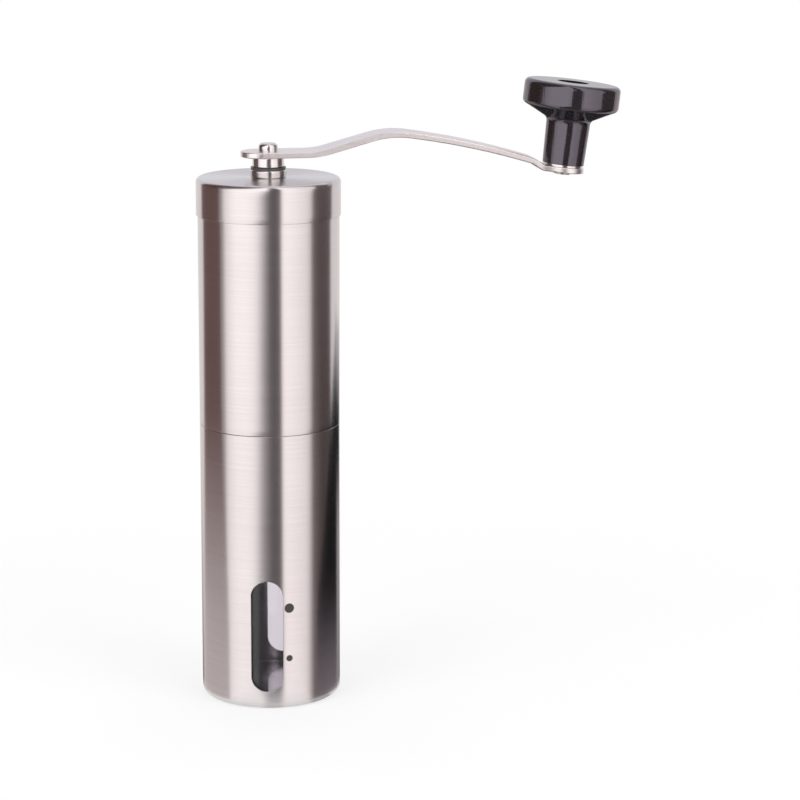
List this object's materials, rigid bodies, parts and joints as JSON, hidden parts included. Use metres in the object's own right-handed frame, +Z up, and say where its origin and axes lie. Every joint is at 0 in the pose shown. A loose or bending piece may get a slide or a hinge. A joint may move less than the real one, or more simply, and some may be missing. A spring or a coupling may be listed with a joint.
{
  "type": "hand crank coffee grinder",
  "caption": "Slim steel hand coffee grinder: bean tube over a windowed grounds cup, conical ceramic burr, push-on lid and a bent crank arm with a turning knob.",
  "frame": {"origin": "middle of the flat base, on the shaft's axis", "axes": "+Z up along the shaft, +X along the crank arm at rest, -Y towards the front window"},
  "size_m": [0.1491, 0.05, 0.2171],
  "materials": {
    "brushed_steel": "stainless steel, brushed round the axis",
    "polished_steel": "stainless steel, turned and polished",
    "satin_steel": "stainless steel, satin, brushed along the bar",
    "spring_steel": "spring steel, plain",
    "dark_steel": "blackened steel",
    "knob_plastic": "black, glossy, moulded",
    "moulded_plastic": "black, satin, moulded",
    "dark_nylon": "black nylon",
    "pale_nylon": "natural nylon",
    "clear_plastic": "clear, moulded",
    "burr_ceramic": "white ceramic, unglazed",
    "nut_brass": "plain brass"
  },
  "bodies": {
    "body": {"body_tube": "brushed_steel", "burr_carrier": "moulded_plastic", "shaft_bush": "pale_nylon", "outer_burr": "burr_ceramic"},
    "cup": {"grounds_cup": "brushed_steel", "cup_liner": "clear_plastic"},
    "lid": {"lid_cap": "brushed_steel", "lid_insert": "moulded_plastic", "lid_collar": "polished_steel", "lid_bush": "pale_nylon"},
    "thrust_ring": {"handle_washer": "dark_nylon"},
    "crank": {"crank_arm": "satin_steel", "drive_socket": "polished_steel", "socket_rivet": "polished_steel", "knob_axle": "polished_steel", "axle_washer": "polished_steel", "knob_screw": "dark_steel"},
    "knob": {"knob": "knob_plastic"},
    "shaft": {"drive_shaft": "polished_steel", "thrust_washer": "polished_steel", "shaft_clip": "spring_steel"},
    "burr": {"inner_burr": "burr_ceramic", "spring_seat": "polished_steel", "burr_spring": "spring_steel", "burr_key": "polished_steel"},
    "adjuster": {"adjuster_dial": "moulded_plastic", "adjuster_nut": "nut_brass"}
  },
  "joints": [
    {"name": "cup_pull", "type": "slide", "parent": "body", "child": "cup", "axis": [0, 0, -1], "range_m": [0, 0.035]},
    {"name": "lid_lift", "type": "slide", "parent": "body", "child": "lid", "axis": [0, 0, 1], "range_m": [0, 0.035]},
    {"name": "handle_lift", "type": "slide", "parent": "lid", "child": "thrust_ring", "axis": [0, 0, 1], "range_m": [0, 0.03]},
    {"name": "crank_turn", "type": "hinge", "parent": "thrust_ring", "child": "crank", "pos_m": [0, 0, 0.1879], "axis": [0, 0, 1], "continuous": true},
    {"name": "knob_spin", "type": "hinge", "parent": "crank", "child": "knob", "pos_m": [0.1042, 0, 0.1862], "axis": [0.1123, 0, 0.9937], "continuous": true},
    {"name": "shaft_turn", "type": "hinge", "parent": "body", "child": "shaft", "pos_m": [0, 0, 0.1085], "axis": [0, 0, 1], "continuous": true},
    {"name": "burr_gap", "type": "slide", "parent": "shaft", "child": "burr", "axis": [0, 0, -1], "range_m": [0, 0.0012], "deforming": ["burr_spring"]},
    {"name": "adjuster_turn", "type": "hinge", "parent": "burr", "child": "adjuster", "pos_m": [0, 0, 0.082], "axis": [0, 0, -1], "range_deg": [0, 540]}
  ],
  "couplings": [
    {"joint": "shaft_turn", "follows": "crank_turn", "ratio": 1},
    {"joint": "burr_gap", "follows": "adjuster_turn", "m_per_rad": 0.00012732}
  ]
}
